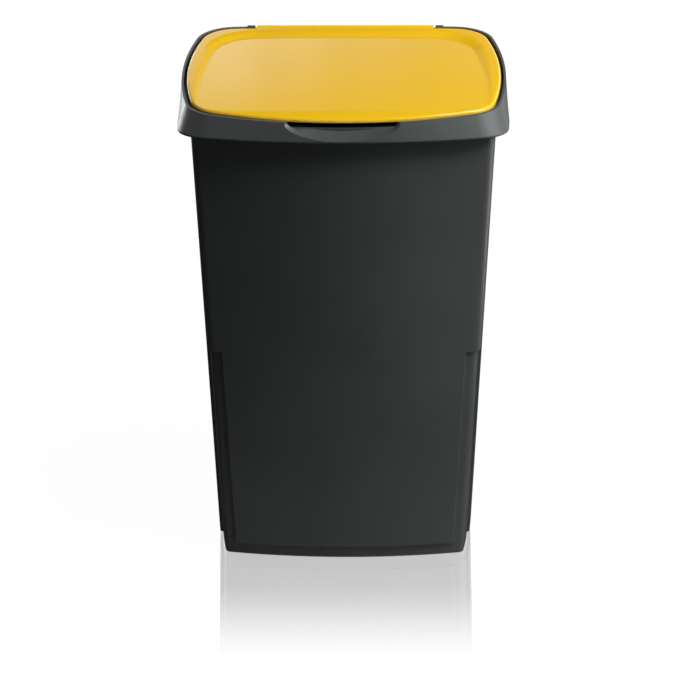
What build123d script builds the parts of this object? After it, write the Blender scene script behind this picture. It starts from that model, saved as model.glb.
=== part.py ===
"""Kitchen waste bin: a tapered bucket, a lift-off top frame and a sloping hinged lid.

Millimetres, +Z up, front towards -Y. The origin is on the floor, under the middle of the bin.
"""

import os
from math import cos, radians, sin, tan

from build123d import *

os.makedirs("parts", exist_ok=True)

# Bucket
bucket_height = 443.5
top_width = 299.5
top_depth = 230.5
foot_width = 266
foot_depth = 206
bucket_wall = 2.2
floor_thickness = 3
foot_pocket_depth = 4
foot_ring_width = 9
flange_width = 5
flange_thickness = 2.5

# Bowed plan: how far the middle of each face stands out past its corners
top_front_bow = 25
foot_front_bow = 12
top_side_bow = 6
foot_side_bow = 8.5
rear_bow = 5
top_corner = 12
foot_corner = 10
least_corner = 2

# Sunk foot band and corner flutes of the bucket
recess_depth = 3
foot_band_height = 13
flute_top = 221
flute_front_width = 14
flute_side_width = 24
flute_reach = 60

# Top frame
skirt_overhang = 12.3
skirt_drop = 3.5
skirt_corner = 40
skirt_edge_round = 2
frame_wall = 2.2
front_height = 18.5
lid_slope = 9.7
lip_taper_side = 3
lip_taper_front = 1.9
lip_taper_rear = 0.3
lip_front_bow = 29
lip_side_bow = 14.8
lip_corner = 40
lip_wall = 2.2
rear_lip_wall = 4
ledge_depth = 8.3
throat_clearance = 1.5
throat_drop = 15
rib_thickness = 2

# Finger scoop in the front of the frame
scoop_width = 123
scoop_depth = 17.3
scoop_inner_width = 90
scoop_inner_depth = 9
scoop_reach = 14
scoop_run_out = 1

# Lid
lid_wall = 2.4
lid_rise = 1.5
lid_gap = 2.6
rear_gap = 3.5
lid_seat_gap = 0.3
lid_edge_round = 3
lid_front_setback = 5
lid_front_relief = 3
crease_setback = 28.5
crease_fall = 4
dish_fall = 1.2
dish_side_border = 19.5
dish_rear_border = 27
dish_corner = 45
dish_wall_angle = 72
dish_soft_edge = 14
dish_height = 12
dish_front_bow = 0.1
upward = 0.8

# Hinge
hinge_setback = 6.5
hinge_depth = 2
barrel_radius = 4.5
barrel_half_length = 91.5
ear_gap = 2
ear_width = 8
ear_root = 30
pin_radius = 2
pin_running_clearance = 0.1
pin_in_ear = 6.5
pin_in_barrel = 14
hinge_sweep_gap = 0.8
notch_gap = 1.5
slot_lift = 1

skirt_bottom = bucket_height - skirt_drop
lip_front_y = -(top_depth / 2 + skirt_overhang - lip_taper_front)
lip_rear_y = top_depth / 2 + skirt_overhang - lip_taper_rear
lip_length = (lip_rear_y - lip_front_y) / cos(radians(lid_slope))
lip_half_width = top_width / 2 + skirt_overhang - lip_taper_side


def sloped_plane(origin, slope):
    """A plane whose X runs across the bin and whose Y climbs towards the rear at the slope."""
    return Plane(origin=origin, x_dir=(1, 0, 0), z_dir=(0, -sin(radians(slope)), cos(radians(slope))))


lip_plane = sloped_plane((0, lip_front_y, skirt_bottom + front_height), lid_slope)


def bowed_outline(plane, half_width, front, rear, bows, corner):
    """A closed outline whose four faces are arcs, with rounded corners."""
    front_bow, side_bow, back_bow = bows
    side = half_width - side_bow
    front_side = front + front_bow
    rear_side = rear - back_bow
    middle = (front_side + rear_side) / 2
    with BuildSketch(plane) as outline:
        with BuildLine():
            ThreePointArc((-side, front_side), (0, front), (side, front_side))
            ThreePointArc((side, front_side), (half_width, middle), (side, rear_side))
            ThreePointArc((side, rear_side), (0, rear), (-side, rear_side))
            ThreePointArc((-side, rear_side), (-half_width, middle), (-side, front_side))
        make_face()
        fillet(outline.vertices(), corner)
    return outline.sketch


def tapered(foot_value, top_value, height):
    """A size of the bucket at a height, on its straight taper from the foot to the top."""
    return foot_value + (top_value - foot_value) * height / bucket_height


def bucket_outline(height, inset):
    """The bucket's outline at a height, moved inwards by the inset."""
    half_width = tapered(foot_width, top_width, height) / 2 - inset
    half_depth = tapered(foot_depth, top_depth, height) / 2 - inset
    bows = (
        tapered(foot_front_bow, top_front_bow, height),
        tapered(foot_side_bow, top_side_bow, height),
        rear_bow,
    )
    corner = max(tapered(foot_corner, top_corner, height) - inset, least_corner)
    return bowed_outline(Plane.XY.offset(height), half_width, -half_depth, half_depth, bows, corner)


def flute_section(height, side, front, inset):
    """One corner's flute at a height: the corner's square that is sunk there, grown by the inset."""
    half_width = tapered(foot_width - 2 * foot_side_bow, top_width - 2 * top_side_bow, height) / 2
    half_depth = tapered(foot_depth, top_depth, height) / 2
    bow = tapered(foot_front_bow, top_front_bow, height) if front else rear_bow
    inner_x = half_width - flute_front_width - inset
    inner_y = half_depth - bow - flute_side_width - inset
    centre = (side * (inner_x + flute_reach / 2), (-1 if front else 1) * (inner_y + flute_reach / 2))
    with BuildSketch(Plane.XY.offset(height)) as section:
        with Locations(centre):
            Rectangle(flute_reach, flute_reach)
    return section.sketch


def bucket_form(inset, bottom):
    """The bucket as a solid form, moved inwards by the inset, with its foot band and flutes sunk."""
    top = flute_top + inset
    with BuildPart() as sunk:
        loft(sections=[bucket_outline(height, inset + recess_depth) for height in (bottom, top)])
    with BuildPart() as around:
        with BuildSketch(Plane.XY.offset(bottom)):
            Rectangle(2 * top_width, 2 * top_depth)
        extrude(amount=foot_band_height + inset - bottom)
        for side in (-1, 1):
            for front in (True, False):
                loft(sections=[flute_section(height, side, front, inset) for height in (bottom, top)])
        add(sunk.part, mode=Mode.SUBTRACT)
    with BuildPart() as form:
        loft(sections=[bucket_outline(bottom, inset), bucket_outline(bucket_height, inset)])
        add(around.part, mode=Mode.SUBTRACT)
    return form.part


# Bucket: one moulded shell with a rim flange, sunk corner flutes and a hollow underside
floor_top = foot_pocket_depth + floor_thickness
bucket_outside = bucket_form(0, 0)
bucket_inside = bucket_form(bucket_wall, floor_top)
with BuildPart() as bucket:
    add(bucket_outside)
    extrude(bucket_outline(bucket_height, -flange_width), amount=-flange_thickness)
    add(bucket_inside, mode=Mode.SUBTRACT)
    extrude(bucket_outline(0, recess_depth + foot_ring_width), amount=foot_pocket_depth, mode=Mode.SUBTRACT)
bucket.part.label = "bucket"
export_step(bucket.part, "parts/bucket.step")


def skirt_outline(inset):
    """The outline of the frame's skirt at its lower edge, moved inwards by the inset."""
    half_width = top_width / 2 + skirt_overhang - inset
    half_depth = top_depth / 2 + skirt_overhang - inset
    bows = (top_front_bow, top_side_bow, rear_bow)
    plane = Plane.XY.offset(skirt_bottom)
    return bowed_outline(plane, half_width, -half_depth, half_depth, bows, skirt_corner - inset)


def lip_outline(inset, rear_inset, rise=0, setback=0):
    """The outline of the frame's lip in its sloped plane, moved inwards, at a rise above that plane.

    The setback moves the middle of its front back, while the front's ends stay where they are.
    """
    plane = lip_plane.offset(rise)
    half_width = lip_half_width - inset
    rear = lip_length - rear_inset
    bows = (lip_front_bow - setback, lip_side_bow, rear_bow)
    return bowed_outline(plane, half_width, inset + setback, rear, bows, lip_corner - inset)


# Hinge line, in the lip's sloped plane
hinge_along = lip_length - hinge_setback
hinge_point = lip_plane.from_local_coords((0, hinge_along, -hinge_depth))
hinge_plane = Plane(origin=hinge_point, x_dir=(0, 1, 0), z_dir=(1, 0, 0))
ear_inner = barrel_half_length + ear_gap
ear_span = (ear_inner, ear_inner + ear_width)


def cross_cylinder(radius, start, length, side=1):
    """A cylinder on the hinge line, from start to start + length out along one side."""
    with BuildPart() as cylinder:
        with BuildSketch(hinge_plane.offset(side * start)):
            Circle(radius)
        extrude(amount=side * length)
    return cylinder.part


def lip_blocks(across, along, rises):
    """A pair of blocks set square to the lip's plane, one each side, each given by its three spans."""
    width = across[1] - across[0]
    length = along[1] - along[0]
    with BuildPart() as blocks:
        with BuildSketch(lip_plane.offset(rises[0])):
            with Locations((0, along[0] + length / 2)):
                with GridLocations(across[0] + across[1], 0, 2, 1):
                    Rectangle(width, length)
        extrude(amount=rises[1] - rises[0])
    return blocks.part


def scoop_form(growth):
    """The finger scoop as a solid, wide at the outer face and narrow under the lid, grown all round."""
    outer_y = -(top_depth / 2 + skirt_overhang + scoop_run_out)
    sections = (
        (outer_y, scoop_width / 2, scoop_depth),
        (outer_y + scoop_reach, scoop_inner_width / 2, scoop_inner_depth),
    )
    faces = []
    for y, half_width, depth in sections:
        centre = (0, y, skirt_bottom + front_height)
        with BuildSketch(Plane(origin=centre, x_dir=(1, 0, 0), z_dir=(0, 1, 0))) as ellipse:
            Ellipse(half_width + growth, depth + growth)
        faces.append(ellipse.sketch)
    with BuildPart() as scoop:
        loft(sections=faces)
    return scoop.part


# Channel under the frame, which takes the bucket's rim, with its seating ribs left standing
ledge_under = -(ledge_depth + frame_wall)
slot_floor = -(hinge_depth + barrel_radius - slot_lift)
throat_outer_inset = bucket_wall + throat_clearance
throat_bottom = bucket_height - throat_drop
with BuildPart() as channel:
    loft(sections=[skirt_outline(frame_wall), lip_outline(frame_wall, frame_wall)], ruled=True)
    split(bisect_by=lip_plane.offset(ledge_under), keep=Keep.BOTTOM)
    extrude(bucket_outline(throat_bottom, throat_outer_inset), amount=lip_length, mode=Mode.SUBTRACT)
    with BuildSketch(Plane.XY.offset(bucket_height)):
        with GridLocations(top_width / 2, 0, 2, 1):
            Rectangle(rib_thickness, 2 * top_depth)
        with GridLocations(0, top_depth / 4, 1, 3):
            Rectangle(2 * top_width, rib_thickness)
    extrude(amount=lip_length, mode=Mode.SUBTRACT)
    add(scoop_form(frame_wall), mode=Mode.SUBTRACT)
    add(lip_blocks(ear_span, (hinge_along - barrel_radius, lip_length), (-ear_root, 0)), mode=Mode.SUBTRACT)

# Top frame: skirt, lip, ledge for the lid, throat inside the bucket's mouth, hinge ears and scoop
with BuildPart() as top_frame:
    loft(sections=[skirt_outline(0), lip_outline(0, 0)], ruled=True)
    fillet(top_frame.edges().group_by(Axis.Z)[0], skirt_edge_round)
    extrude(bucket_outline(throat_bottom, throat_outer_inset), amount=throat_drop)
    add(channel.part, mode=Mode.SUBTRACT)
    extrude(lip_outline(lip_wall, rear_lip_wall), amount=-ledge_depth, mode=Mode.SUBTRACT)
    mouth_inset = throat_outer_inset + frame_wall
    extrude(bucket_outline(throat_bottom, mouth_inset), amount=lip_length, mode=Mode.SUBTRACT)
    add(scoop_form(0), mode=Mode.SUBTRACT)
    ear_along = (hinge_along - barrel_radius, hinge_along + hinge_setback / 2)
    add(lip_blocks(ear_span, ear_along, (ledge_under, -hinge_depth)))
    for side in (-1, 1):
        add(cross_cylinder(barrel_radius, ear_inner, ear_width, side))
    slot_along = (hinge_along - barrel_radius, lip_length + hinge_setback)
    add(lip_blocks((0, ear_inner), slot_along, (slot_floor, lip_length)), mode=Mode.SUBTRACT)
    add(cross_cylinder(barrel_radius + hinge_sweep_gap, -ear_inner, 2 * ear_inner), mode=Mode.SUBTRACT)
    for side in (-1, 1):
        add(cross_cylinder(pin_radius, ear_inner, pin_in_ear, side), mode=Mode.SUBTRACT)
top_frame.part.label = "top_frame"
export_step(top_frame.part, "parts/top_frame.step")

# Dish in the lid: nothing at the front crease, deepest at the rear, with a soft wall round it
crease_point = lip_plane.from_local_coords((0, crease_setback, lid_rise))
dish_plane = sloped_plane(crease_point, lid_slope - dish_fall)
dish_spread = dish_height * tan(radians(dish_wall_angle))
dish_front = -3 * crease_setback
dish_rear = lip_length - crease_setback - dish_rear_border
with BuildPart() as dish:
    dish_bows = (dish_front_bow, lip_side_bow, rear_bow)
    dish_half = lip_half_width - dish_side_border
    loft(
        sections=[
            bowed_outline(dish_plane, dish_half, dish_front, dish_rear, dish_bows, dish_corner),
            bowed_outline(
                dish_plane.offset(dish_height),
                dish_half + dish_spread,
                dish_front - dish_spread,
                dish_rear + dish_spread,
                dish_bows,
                dish_corner + dish_spread,
            ),
        ]
    )
    fillet(dish.faces().sort_by(Axis(crease_point, dish_plane.z_dir))[0].edges(), dish_soft_edge)

# Wedge that the lid loses in front of its crease
with BuildPart() as nose:
    with BuildSketch(sloped_plane(crease_point, lid_slope + crease_fall)):
        with Locations((0, -crease_setback)):
            Rectangle(3 * top_width, 2 * crease_setback)
    extrude(amount=dish_height)

# Lid: dished top, turned-down edge, notches round the hinge ears and a barrel on the hinge line
lid_rear_inset = rear_lip_wall + rear_gap
lid_inset = lip_wall + lid_gap
under_shift = Location(lip_plane.z_dir * -lid_wall)
with BuildPart() as lid_hollow:
    extrude(
        lip_outline(lid_inset + lid_wall, lid_rear_inset + lid_wall, -ledge_depth, lid_front_setback),
        amount=ledge_depth + lid_rise - lid_wall,
    )
    add(dish.part.moved(under_shift), mode=Mode.SUBTRACT)
    add(nose.part.moved(under_shift), mode=Mode.SUBTRACT)

with BuildPart() as lid:
    lid_thickness = lid_rise + ledge_depth - lid_seat_gap
    extrude(lip_outline(lid_inset, lid_rear_inset, lid_rise, lid_front_setback), amount=-lid_thickness)
    add(nose.part, mode=Mode.SUBTRACT)
    top_faces = lid.faces().filter_by(lambda face: face.normal_at().Z > upward)
    fillet(top_faces.edges().filter_by(Axis.X, reverse=True), lid_edge_round)
    add(dish.part, mode=Mode.SUBTRACT)
    add(lid_hollow.part, mode=Mode.SUBTRACT)
    relief_along = (0, lid_inset + lid_front_setback + scoop_reach)
    relief_rises = (-ledge_depth, -lid_front_relief)
    add(lip_blocks((0, scoop_width / 2), relief_along, relief_rises), mode=Mode.SUBTRACT)
    notch_front = hinge_along - barrel_radius - notch_gap
    notch_span = (barrel_half_length, ear_inner + ear_width + ear_gap)
    add(lip_blocks(notch_span, (notch_front, lip_length), (-ear_root, ear_root)), mode=Mode.SUBTRACT)
    add(lip_blocks((0, barrel_half_length), (notch_front, hinge_along), (lid_rise - lid_wall, lid_rise)))
    add(cross_cylinder(barrel_radius, -barrel_half_length, 2 * barrel_half_length))
    bore = pin_radius + pin_running_clearance
    add(cross_cylinder(bore, -barrel_half_length, 2 * barrel_half_length), mode=Mode.SUBTRACT)
lid.part.label = "lid"
export_step(lid.part, "parts/lid.step")

# Hinge pins: pressed into the frame's ears, running in the ends of the lid's barrel
pin_start = barrel_half_length - pin_in_barrel
pin_length = pin_in_barrel + ear_gap + pin_in_ear
for name, side in (("hinge_pin_left", -1), ("hinge_pin_right", 1)):
    with BuildPart() as hinge_pin:
        add(cross_cylinder(pin_radius, pin_start, pin_length, side))
    hinge_pin.part.label = name
    export_step(hinge_pin.part, f"parts/{name}.step")
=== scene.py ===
"""Looks of the kitchen waste bin: anthracite bucket and frame, yellow lid, on a pale studio floor.

Metres, +Z up, front towards -Y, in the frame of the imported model.
"""

import math

import bmesh
import bpy
from mathutils import Matrix, Vector


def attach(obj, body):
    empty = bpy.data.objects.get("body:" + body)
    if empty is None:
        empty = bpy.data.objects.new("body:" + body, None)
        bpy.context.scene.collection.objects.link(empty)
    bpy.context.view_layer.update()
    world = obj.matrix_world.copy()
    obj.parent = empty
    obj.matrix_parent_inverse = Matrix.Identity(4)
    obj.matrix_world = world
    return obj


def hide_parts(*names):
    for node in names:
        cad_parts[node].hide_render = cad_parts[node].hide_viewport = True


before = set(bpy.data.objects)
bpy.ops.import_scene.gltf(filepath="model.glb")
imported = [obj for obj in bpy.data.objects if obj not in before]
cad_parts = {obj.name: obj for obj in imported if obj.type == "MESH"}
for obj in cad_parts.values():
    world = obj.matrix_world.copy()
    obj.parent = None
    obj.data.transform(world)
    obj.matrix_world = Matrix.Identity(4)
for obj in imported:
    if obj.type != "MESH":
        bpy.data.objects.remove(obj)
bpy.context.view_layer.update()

MM = 0.001

# Camera, as fitted to the photograph's edges: pixels, millimetres of sensor, and degrees
PHOTO_WIDTH = 700
FOCAL_LENGTH = 1872.1
SENSOR = 36
CAMERA_PLACE = (25.2 * MM, -1815.4 * MM, 872.5 * MM)
CAMERA_PITCH = 20.637
CAMERA_YAW = 0.630
CAMERA_ROLL = -0.159
CAMERA_REACH = (0.05, 200)

# Moulded edges: vertices nearer than WELD become one, faces within FLAT_ANGLE of each other too,
# and edges over CORNER_ANGLE are rounded. Angles are degrees.
WELD = 0.002 * MM
FLAT_ANGLE = 0.2
CORNER_ANGLE = 24
BUCKET_EDGE = 0.9 * MM
FRAME_EDGE = 0.6 * MM
LID_EDGE = 0.6 * MM
PIN_EDGE = 0.3 * MM
EDGE_STEPS = 3
LARGE_FACE_WEIGHT = 80

# Plastic: a noise changes colour and roughness between these two of its values
NOISE_SPAN = (0.3, 0.7)
POLYPROPYLENE_IOR = 1.49

# Floor: its mirror image and the light it throws back fade over distances from the foot ring
FLOOR_SIZE = 60
FOOT_HALF = (130 * MM, 100 * MM, 0)
REFLECTION_AT_FOOT = 0.48
REFLECTION_FADE = (50 * MM, 225 * MM)
BOUNCE_FADE = (60 * MM, 400 * MM)
OPEN_BOUNCE = "#707070"
FOOT_BOUNCE = "#FAFAFA"
OPEN_GLOW = 1.0
FOOT_GLOW = 0.97
SHADOW_CATCH = "#323232"
POLISH_IOR = 1.45
POLISH_ROUGHNESS = 0.03
# The mirror image is weak from above and full at a slant: Fresnel values, and the shares they give
SLANT_FRESNEL = (0.034, 0.1)
SLANT_SHARE = (0.1, 1.0)

# World: as it is seen, and as it lights things
SEEN_STRENGTH = 1.0
AMBIENT_STRENGTH = 0.05

# Black cards round the bin: name, size, place, turn. They face the bin.
CARD_LENGTH = 6
LOW_CARD = (CARD_LENGTH, 0.65)
LOW_CARD_MIDDLE = 0.325
QUARTER = math.pi / 2
CARDS = (
    ("floor_card", (CARD_LENGTH, 6), (0, 0, 0.001), (0, 0, 0)),
    ("ceiling_card", (CARD_LENGTH, 4.5), (0, -0.75, 2.2), (2 * QUARTER, 0, 0)),
    ("back_card", (CARD_LENGTH, 1.0), (0, 1.5, 1.7), (-QUARTER, 0, 2 * QUARTER)),
    ("front_card", LOW_CARD, (0, -3, LOW_CARD_MIDDLE), (-QUARTER, 0, 0)),
    ("left_card", LOW_CARD, (-3, 0, LOW_CARD_MIDDLE), (-QUARTER, 0, -QUARTER)),
    ("right_card", LOW_CARD, (3, 0, LOW_CARD_MIDDLE), (-QUARTER, 0, QUARTER)),
)

# Lamps: name, azimuth and elevation in degrees, distance, size, brightness, the point they look at
BIN_MIDDLE = (0, 0, 0.3)
KEY_SIZE = (0.62, 0.62)
BODY_LAMPS = (
    ("right_key", 70, 38, 2.0, KEY_SIZE, 27, BIN_MIDDLE),
    ("high_key", 48, 54, 2.0, KEY_SIZE, 18, BIN_MIDDLE),
    ("low_key", 86, 6, 2.0, KEY_SIZE, 10.5, BIN_MIDDLE),
    ("rear_fill", 212, 5, 2.5, (1.2, 0.8), 8, BIN_MIDDLE),
)
FOOT_LAMPS = (
    ("foot_key", 40, 4, 0.6, (0.5, 0.08), 2.5, (0, -0.1, 0.01)),
    ("right_strip", 108, 0, 0.9, (0.12, 0.24), 14, (0, 0, 0.12)),
)

# Lamps behind the bin that the lid mirrors. They start at one azimuth and end at their own,
# so that the mirrored light fades from left to right: name, end, brightness.
LID_GLOSSES = (
    ("lid_gloss_wide", 160, 0.15),
    ("lid_gloss_middle", 178.5, 0.2),
    ("lid_gloss_near", 184, 0.35),
    ("lid_gloss_left", 189, 0.5),
)
LID_GLOSS_START = 208
LID_GLOSS_RISE = 22.2
LID_GLOSS_DISTANCE = 1.5
LID_GLOSS_HEIGHT = 0.47
LID_MIDDLE = (0, 0, 0.48)


def linear(code):
    """An sRGB hex colour as the linear values that a shader takes."""
    parts = [int(code[i:i + 2], 16) / 255 for i in (1, 3, 5)]
    return [p / 12.92 if p <= 0.04045 else ((p + 0.055) / 1.055) ** 2.4 for p in parts] + [1]


def per_mm(size):
    """The scale of a noise on metre coordinates whose marks are this many millimetres wide."""
    return 1 / (size * MM)


def put(tree, kind, inputs=None, **settings):
    """Adds a node with its settings, and gives each input a value or the socket that feeds it."""
    made = tree.nodes.new(kind)
    for name, value in settings.items():
        setattr(made, name, value)
    for name, value in (inputs or {}).items():
        if isinstance(value, bpy.types.NodeSocket):
            tree.links.new(value, made.inputs[name])
        else:
            made.inputs[name].default_value = value
    return made


def span(value, source, target):
    """The inputs of a Map Range that takes a value from one pair of ends to another."""
    return {
        "Value": value,
        "From Min": source[0],
        "From Max": source[1],
        "To Min": target[0],
        "To Max": target[1],
    }


def new_material(name):
    """An empty material and its tree."""
    material = bpy.data.materials.new(name)
    material.use_nodes = True
    material.node_tree.nodes.clear()
    return material, material.node_tree


def moulded_plastic(name, dark, light, roughness, specular, grain, swirl, peel):
    """Injection-moulded polypropylene.

    Swirl is a width in millimetres, and each of grain and peel a width and a height.
    """
    material, tree = new_material(name)
    place = put(tree, "ShaderNodeTexCoord").outputs["Object"]
    flow, fine, soft = (
        put(
            tree,
            "ShaderNodeTexNoise",
            {"Vector": place, "Scale": per_mm(width), "Detail": detail},
        ).outputs["Fac"]
        for width, detail in ((swirl, 3.0), (grain[0], 2.0), (peel[0], 1.0))
    )
    blend = put(tree, "ShaderNodeMapRange", span(flow, NOISE_SPAN, (0.0, 1.0)))
    colour = put(
        tree,
        "ShaderNodeMix",
        {"Factor": blend.outputs["Result"], 6: linear(dark), 7: linear(light)},
        data_type="RGBA",
    )
    rough = put(tree, "ShaderNodeMapRange", span(fine, NOISE_SPAN, roughness))
    waves = put(
        tree,
        "ShaderNodeBump",
        {"Height": soft, "Strength": 1.0, "Distance": peel[1] * MM},
    )
    tooth = put(
        tree,
        "ShaderNodeBump",
        {
            "Height": fine,
            "Strength": 1.0,
            "Distance": grain[1] * MM,
            "Normal": waves.outputs["Normal"],
        },
    )
    surface = put(
        tree,
        "ShaderNodeBsdfPrincipled",
        {
            "Base Color": colour.outputs[2],
            "Roughness": rough.outputs["Result"],
            "IOR": POLYPROPYLENE_IOR,
            "Specular IOR Level": specular,
            "Normal": tooth.outputs["Normal"],
        },
    )
    put(tree, "ShaderNodeOutputMaterial", {"Surface": surface.outputs[0]})
    return material


def moulding(node, name, body, edge, material):
    """The node's form as one welded mesh with rounded edges, which stands for the node."""
    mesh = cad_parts[node].data.copy()
    piece = bpy.data.objects.new(name, mesh)
    bpy.context.scene.collection.objects.link(piece)
    work = bmesh.new()
    work.from_mesh(mesh)
    bmesh.ops.remove_doubles(work, verts=work.verts, dist=WELD)
    bmesh.ops.dissolve_limit(
        work, angle_limit=math.radians(FLAT_ANGLE), verts=work.verts, edges=work.edges
    )
    work.to_mesh(mesh)
    work.free()
    if mesh.attributes.get("custom_normal"):
        mesh.attributes.remove(mesh.attributes["custom_normal"])
    bevel = piece.modifiers.new("edge_round", "BEVEL")
    bevel.width = edge
    bevel.segments = EDGE_STEPS
    bevel.limit_method = "ANGLE"
    bevel.angle_limit = math.radians(CORNER_ANGLE)
    bevel.use_clamp_overlap = True
    even = piece.modifiers.new("even_shading", "WEIGHTED_NORMAL")
    even.mode = "FACE_AREA"
    even.weight = LARGE_FACE_WEIGHT
    even.keep_sharp = True
    mesh.shade_smooth()
    shown = piece.evaluated_get(bpy.context.evaluated_depsgraph_get())
    finished = bpy.data.meshes.new_from_object(shown)
    piece.modifiers.clear()
    piece.data = finished
    finished.name = name
    finished.materials.clear()
    finished.materials.append(material)
    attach(piece, body)
    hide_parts(node)


# Satin polypropylene: the steel mould is spark-eroded, so the skin is even, dark and softly shining
satin_bucket = moulded_plastic(
    "satin_anthracite_polypropylene_bucket",
    dark="#323434",
    light="#363838",
    roughness=(0.42, 0.50),
    specular=0.36,
    grain=(1.3, 0.004),
    swirl=90,
    peel=(14, 0.01),
)
# The frame comes from a mould of its own, and looks a little lighter and smoother
satin_frame = moulded_plastic(
    "satin_anthracite_polypropylene_frame",
    dark="#3F4342",
    light="#434746",
    roughness=(0.40, 0.48),
    specular=0.4,
    grain=(1.2, 0.004),
    swirl=70,
    peel=(12, 0.01),
)
# Gloss polypropylene: a polished mould leaves a shining skin with a very slight roll
gloss_lid = moulded_plastic(
    "gloss_yellow_polypropylene_lid",
    dark="#E5B518",
    light="#E8B821",
    roughness=(0.15, 0.18),
    specular=0.5,
    grain=(1.2, 0.0006),
    swirl=120,
    peel=(16, 0.012),
)
# The pins are the same plastic as the frame, smooth from the lathe-cut mould
smooth_pin = moulded_plastic(
    "smooth_anthracite_polypropylene_pin",
    dark="#262828",
    light="#2A2C2C",
    roughness=(0.36, 0.42),
    specular=0.45,
    grain=(0.8, 0.001),
    swirl=20,
    peel=(6, 0.004),
)

moulding("bucket", "bucket_moulding", "bucket", BUCKET_EDGE, satin_bucket)
moulding("top_frame", "top_frame_moulding", "frame", FRAME_EDGE, satin_frame)
moulding("lid", "lid_moulding", "lid", LID_EDGE, gloss_lid)
moulding("hinge_pin_left", "hinge_pin_left_turned", "frame", PIN_EDGE, smooth_pin)
moulding("hinge_pin_right", "hinge_pin_right_turned", "frame", PIN_EDGE, smooth_pin)


def seen_ray(tree):
    """1 for a ray from the camera, a gloss or a clear piece, and 0 for any other light."""
    path = put(tree, "ShaderNodeLightPath").outputs
    gloss = put(
        tree,
        "ShaderNodeMath",
        {0: path["Is Camera Ray"], 1: path["Is Glossy Ray"]},
        operation="MAXIMUM",
    )
    every = put(
        tree,
        "ShaderNodeMath",
        {0: gloss.outputs[0], 1: path["Is Transmission Ray"]},
        operation="MAXIMUM",
    )
    return every.outputs[0]


def flat_sheet(name, size, place, turn, material):
    """A flat stage sheet, which isn't part of the bin."""
    mesh = bpy.data.meshes.new(name)
    x, y = size[0] / 2, size[1] / 2
    mesh.from_pydata([(-x, -y, 0), (x, -y, 0), (x, y, 0), (-x, y, 0)], [], [(0, 1, 2, 3)])
    mesh.materials.append(material)
    sheet = bpy.data.objects.new(name, mesh)
    sheet.location = place
    sheet.rotation_euler = turn
    bpy.context.scene.collection.objects.link(sheet)
    return sheet


def studio_floor():
    """White polished floor: white to the eye, with the bin's shadow and a fading mirror image."""
    material, tree = new_material("polished_white_floor")

    # How far a point lies outside the foot ring
    place = put(tree, "ShaderNodeTexCoord").outputs["Object"]
    away = put(tree, "ShaderNodeVectorMath", {0: place}, operation="ABSOLUTE")
    past = put(
        tree, "ShaderNodeVectorMath", {0: away.outputs[0], 1: FOOT_HALF}, operation="SUBTRACT"
    )
    outside = put(
        tree, "ShaderNodeVectorMath", {0: past.outputs[0], 1: (0, 0, 0)}, operation="MAXIMUM"
    )
    length = put(tree, "ShaderNodeVectorMath", {0: outside.outputs[0]}, operation="LENGTH")
    distance = length.outputs["Value"]
    near = put(
        tree,
        "ShaderNodeMapRange",
        span(distance, BOUNCE_FADE, (1.0, 0.0)),
        interpolation_type="SMOOTHSTEP",
    ).outputs["Result"]

    # What the bin gets from the floor, and what the eye sees of it
    sheet = put(
        tree,
        "ShaderNodeMix",
        {"Factor": near, 6: linear(OPEN_BOUNCE), 7: linear(FOOT_BOUNCE)},
        data_type="RGBA",
    )
    bounce = put(tree, "ShaderNodeBsdfDiffuse", {"Color": sheet.outputs[2]})
    light = put(
        tree, "ShaderNodeMapRange", span(near, (0.0, 1.0), (OPEN_GLOW, FOOT_GLOW))
    )
    matt = put(tree, "ShaderNodeBsdfDiffuse", {"Color": linear(SHADOW_CATCH)})
    glow = put(
        tree,
        "ShaderNodeEmission",
        {"Color": linear("#FFFFFF"), "Strength": light.outputs["Result"]},
    )
    white = put(tree, "ShaderNodeAddShader", {0: matt.outputs[0], 1: glow.outputs[0]})
    ground = put(
        tree, "ShaderNodeMixShader", {0: seen_ray(tree), 1: bounce.outputs[0], 2: white.outputs[0]}
    )

    # The mirror image
    mirror = put(
        tree,
        "ShaderNodeBsdfGlossy",
        {"Color": linear("#FFFFFF"), "Roughness": POLISH_ROUGHNESS},
    )
    fade = put(
        tree,
        "ShaderNodeMapRange",
        span(distance, REFLECTION_FADE, (REFLECTION_AT_FOOT, 0.0)),
        interpolation_type="SMOOTHSTEP",
    )
    polish = put(tree, "ShaderNodeFresnel", {"IOR": POLISH_IOR})
    slant = put(tree, "ShaderNodeMapRange", span(polish.outputs[0], SLANT_FRESNEL, SLANT_SHARE))
    share = put(
        tree,
        "ShaderNodeMath",
        {0: fade.outputs["Result"], 1: slant.outputs["Result"]},
        operation="MULTIPLY",
    )
    floor = put(
        tree,
        "ShaderNodeMixShader",
        {0: share.outputs[0], 1: ground.outputs[0], 2: mirror.outputs[0]},
    )
    put(tree, "ShaderNodeOutputMaterial", {"Surface": floor.outputs[0]})
    flat_sheet("studio_floor", (FLOOR_SIZE, FLOOR_SIZE), (0, 0, 0), (0, 0, 0), material)


def studio_world():
    """White to the eye, to glosses and to clear pieces, and a low light on everything."""
    world = bpy.data.worlds.new("white_studio")
    world.use_nodes = True
    tree = world.node_tree
    tree.nodes.clear()
    dim, white = (
        put(tree, "ShaderNodeBackground", {"Color": linear("#FFFFFF"), "Strength": strength})
        for strength in (AMBIENT_STRENGTH, SEEN_STRENGTH)
    )
    both = put(
        tree, "ShaderNodeMixShader", {0: seen_ray(tree), 1: dim.outputs[0], 2: white.outputs[0]}
    )
    put(tree, "ShaderNodeOutputWorld", {"Surface": both.outputs[0]})
    bpy.context.scene.world = world


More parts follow.
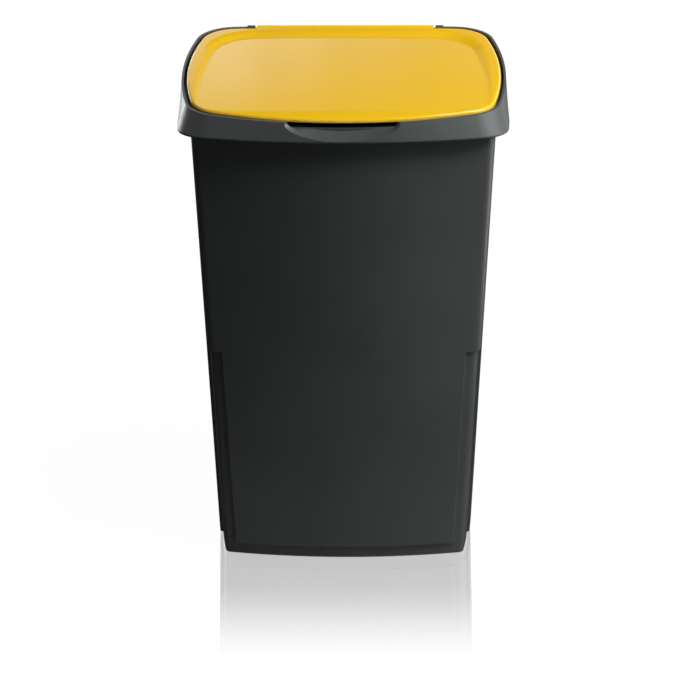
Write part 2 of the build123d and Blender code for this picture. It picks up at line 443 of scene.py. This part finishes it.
def black_card(name, size, place, turn):
    """Black studio card that only reflections see: black in front, clear from behind."""
    material, tree = new_material("black_velvet_" + name)
    side = put(tree, "ShaderNodeNewGeometry").outputs["Backfacing"]
    black = put(tree, "ShaderNodeBsdfDiffuse", {"Color": linear("#000000")})
    clear = put(tree, "ShaderNodeBsdfTransparent")
    cut = put(tree, "ShaderNodeMixShader", {0: side, 1: black.outputs[0], 2: clear.outputs[0]})
    put(tree, "ShaderNodeOutputMaterial", {"Surface": cut.outputs[0]})
    card = flat_sheet(name, size, place, turn, material)
    card.visible_camera = False
    card.visible_diffuse = False
    card.visible_shadow = False
    card.visible_transmission = False


def soft_box(name, azimuth, elevation, distance, size, brightness, target):
    """A soft lamp that looks at a point. Azimuth 0 is in front of the bin and 90 at its right."""
    turn, rise = math.radians(azimuth), math.radians(elevation)
    level = math.cos(rise)
    way = Vector((math.sin(turn) * level, -math.cos(turn) * level, math.sin(rise)))
    lamp = bpy.data.lights.new(name, "AREA")
    lamp.shape = "RECTANGLE"
    lamp.size, lamp.size_y = size
    lamp.energy = math.pi * size[0] * size[1] * brightness
    lamp_object = bpy.data.objects.new(name, lamp)
    lamp_object.location = Vector(target) + way * distance
    lamp_object.rotation_euler = (-way).to_track_quat("-Z", "Y").to_euler()
    bpy.context.scene.collection.objects.link(lamp_object)
    lamp_object.visible_camera = False


def lid_gloss(name, end, brightness):
    """A soft lamp behind the bin, from the shared start to its own end."""
    half = (LID_GLOSS_START - end) / 2
    width = 2 * LID_GLOSS_DISTANCE * math.tan(math.radians(half))
    soft_box(
        name,
        end + half,
        LID_GLOSS_RISE,
        LID_GLOSS_DISTANCE,
        (width, LID_GLOSS_HEIGHT),
        brightness,
        LID_MIDDLE,
    )


def photo_camera():
    """The camera at the photograph's place and angle."""
    lens = bpy.data.cameras.new("photo_camera")
    lens.sensor_width = SENSOR
    lens.lens = FOCAL_LENGTH / PHOTO_WIDTH * SENSOR
    lens.clip_start, lens.clip_end = CAMERA_REACH
    camera = bpy.data.objects.new("photo_camera", lens)
    bpy.context.scene.collection.objects.link(camera)
    camera.matrix_world = (
        Matrix.Translation(CAMERA_PLACE)
        @ Matrix.Rotation(math.radians(CAMERA_YAW), 4, "Z")
        @ Matrix.Rotation(math.radians(90 - CAMERA_PITCH), 4, "X")
        @ Matrix.Rotation(math.radians(CAMERA_ROLL), 4, "Z")
    )
    bpy.context.scene.camera = camera


studio_floor()
studio_world()
for card in CARDS:
    black_card(*card)
for lamp in BODY_LAMPS:
    soft_box(*lamp)
for gloss in LID_GLOSSES:
    lid_gloss(*gloss)
for lamp in FOOT_LAMPS:
    soft_box(*lamp)
photo_camera()
bpy.context.scene.view_settings.view_transform = "Standard"
